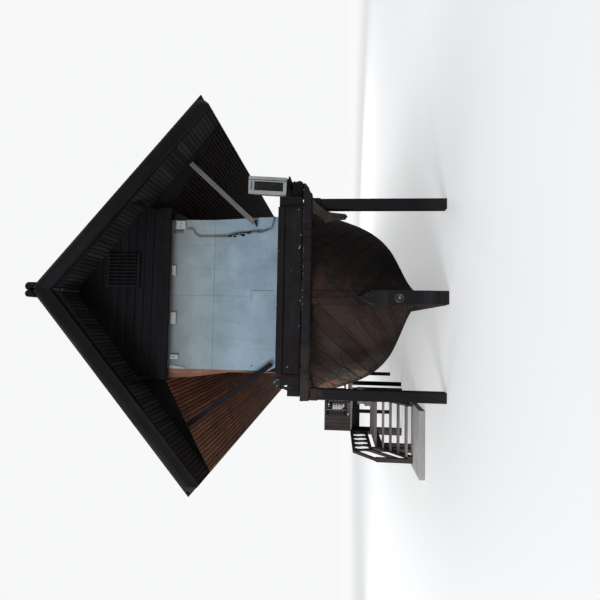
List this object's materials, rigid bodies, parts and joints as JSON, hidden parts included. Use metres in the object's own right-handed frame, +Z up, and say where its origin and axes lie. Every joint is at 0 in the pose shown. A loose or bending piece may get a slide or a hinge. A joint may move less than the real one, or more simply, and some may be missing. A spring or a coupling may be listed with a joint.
{
  "type": "cottage on a wooden barge hull",
  "caption": "Small gabled cottage built on a planked wooden barge hull set on land, with wide eaves, knee braces, support posts and a stair up to a railed side veranda",
  "frame": {"origin": "on the underside of the keel, on the centre line, halfway between the two ends of the hull", "axes": "+Y runs forward along the keel from the stern in the picture to the bow, +X to starboard, +Z up"},
  "size_m": [5.82, 12.82, 5.932],
  "materials": {
    "hull_timber": "weathered",
    "dark_timber": "stained, weathered",
    "brown_boards": "varnished",
    "white_wall": "painted plaster",
    "roofing": "weathered shingle",
    "deck_timber": "worn",
    "pane": "clear",
    "casing": "satin",
    "concrete": "rough"
  },
  "bodies": {
    "root": {"keel": "hull_timber", "keelson": "hull_timber", "end_posts": "hull_timber", "stern_planking": "hull_timber", "port_planking": "hull_timber", "starboard_planking": "hull_timber", "bow_planking": "hull_timber", "hull_frames": "hull_timber", "rub_rails": "dark_timber", "end_boards": "dark_timber", "corner_blocks": "dark_timber", "support_posts": "dark_timber", "side_decks": "deck_timber", "end_decks": "deck_timber", "cabin_floor": "deck_timber", "stern_wall": "white_wall", "bow_wall": "white_wall", "port_walls": "brown_boards", "starboard_walls": "brown_boards", "door_frame": "dark_timber", "window_frames": "dark_timber", "window_panes": "pane", "gable_boards": "dark_timber", "gable_beams": "dark_timber", "gable_vents": "dark_timber", "roof_slopes": "roofing", "ridge_rolls": "roofing", "ridge_beam": "dark_timber", "rafters": "brown_boards", "barge_boards": "dark_timber", "eave_boards": "dark_timber", "gable_soffits": "dark_timber", "eave_soffits": "brown_boards", "wing_boards": "dark_timber", "knee_braces": "dark_timber", "gable_struts": "dark_timber", "fittings": "white_wall", "aircon_unit": "casing", "aircon_shelf": "dark_timber", "stair_frame": "dark_timber", "stair_treads": "deck_timber", "veranda_deck": "deck_timber", "veranda_frame": "dark_timber", "railings": "dark_timber", "concrete_pad": "concrete"}
  },
  "joints": []
}
